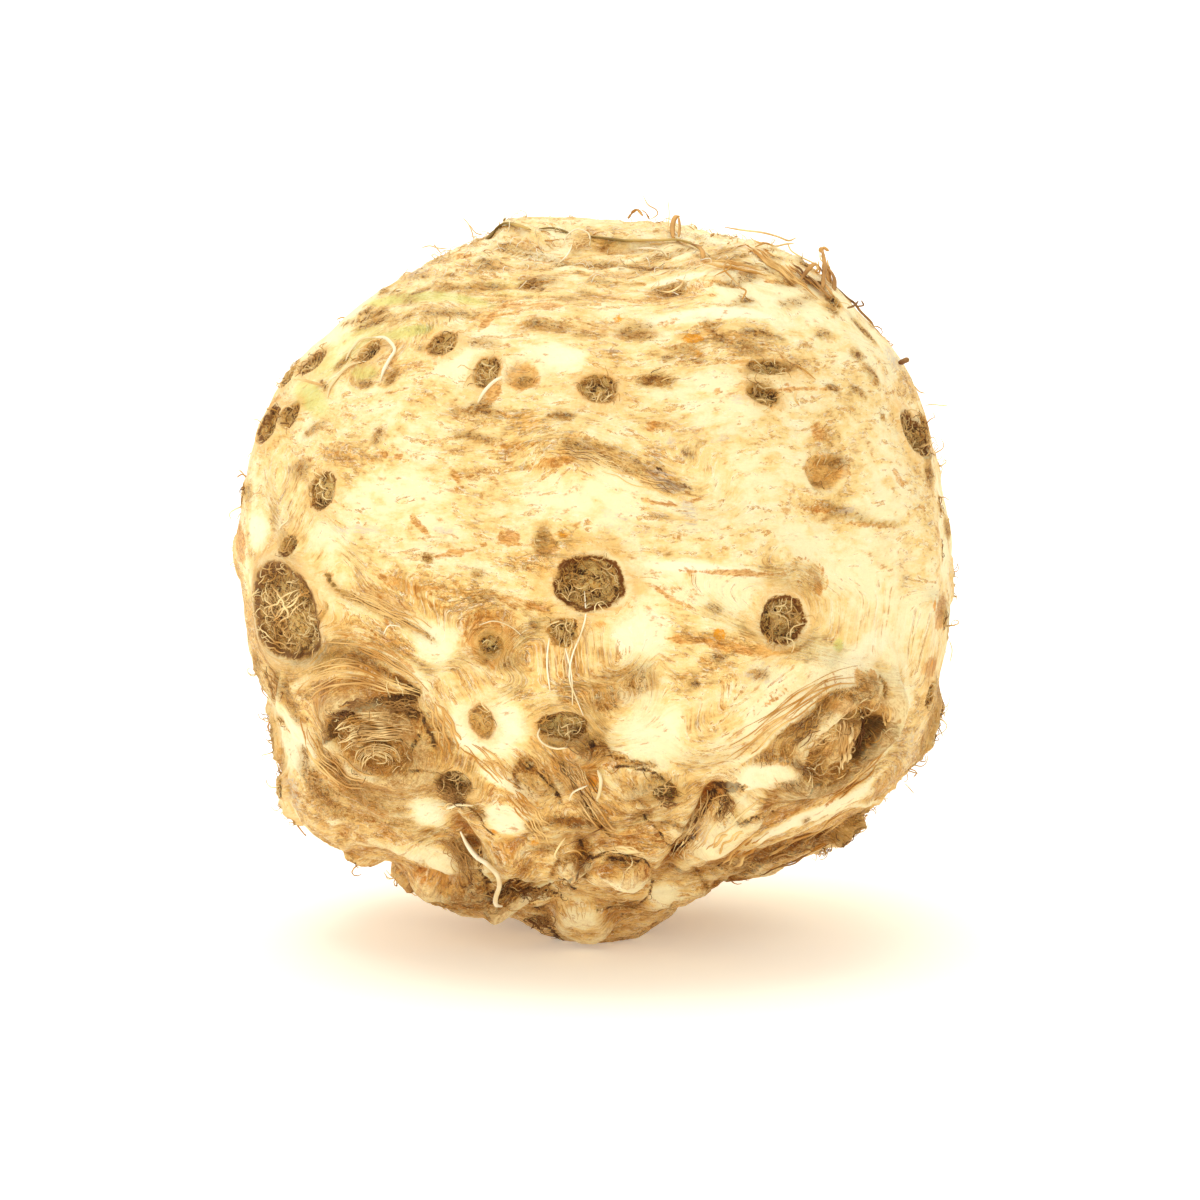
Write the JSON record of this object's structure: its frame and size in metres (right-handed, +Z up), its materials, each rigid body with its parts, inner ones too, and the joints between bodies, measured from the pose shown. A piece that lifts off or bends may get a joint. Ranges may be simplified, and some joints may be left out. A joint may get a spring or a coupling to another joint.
{
  "type": "celeriac root",
  "caption": "Celeriac root: a knobbly pale globe with a cut crown, round root scars, folded bosses and a rugged underside that it stands on.",
  "frame": {"origin": "middle of the flat spot on the underside, on the surface that the root stands on", "axes": "+Z up through the cut crown, -Y towards the front with its two large bosses, +X to the right seen from the front"},
  "size_m": [0.12, 0.1198, 0.1191],
  "materials": {
    "celeriac_skin": "matte"
  },
  "bodies": {
    "root": {"celeriac_root": "celeriac_skin"}
  },
  "joints": []
}
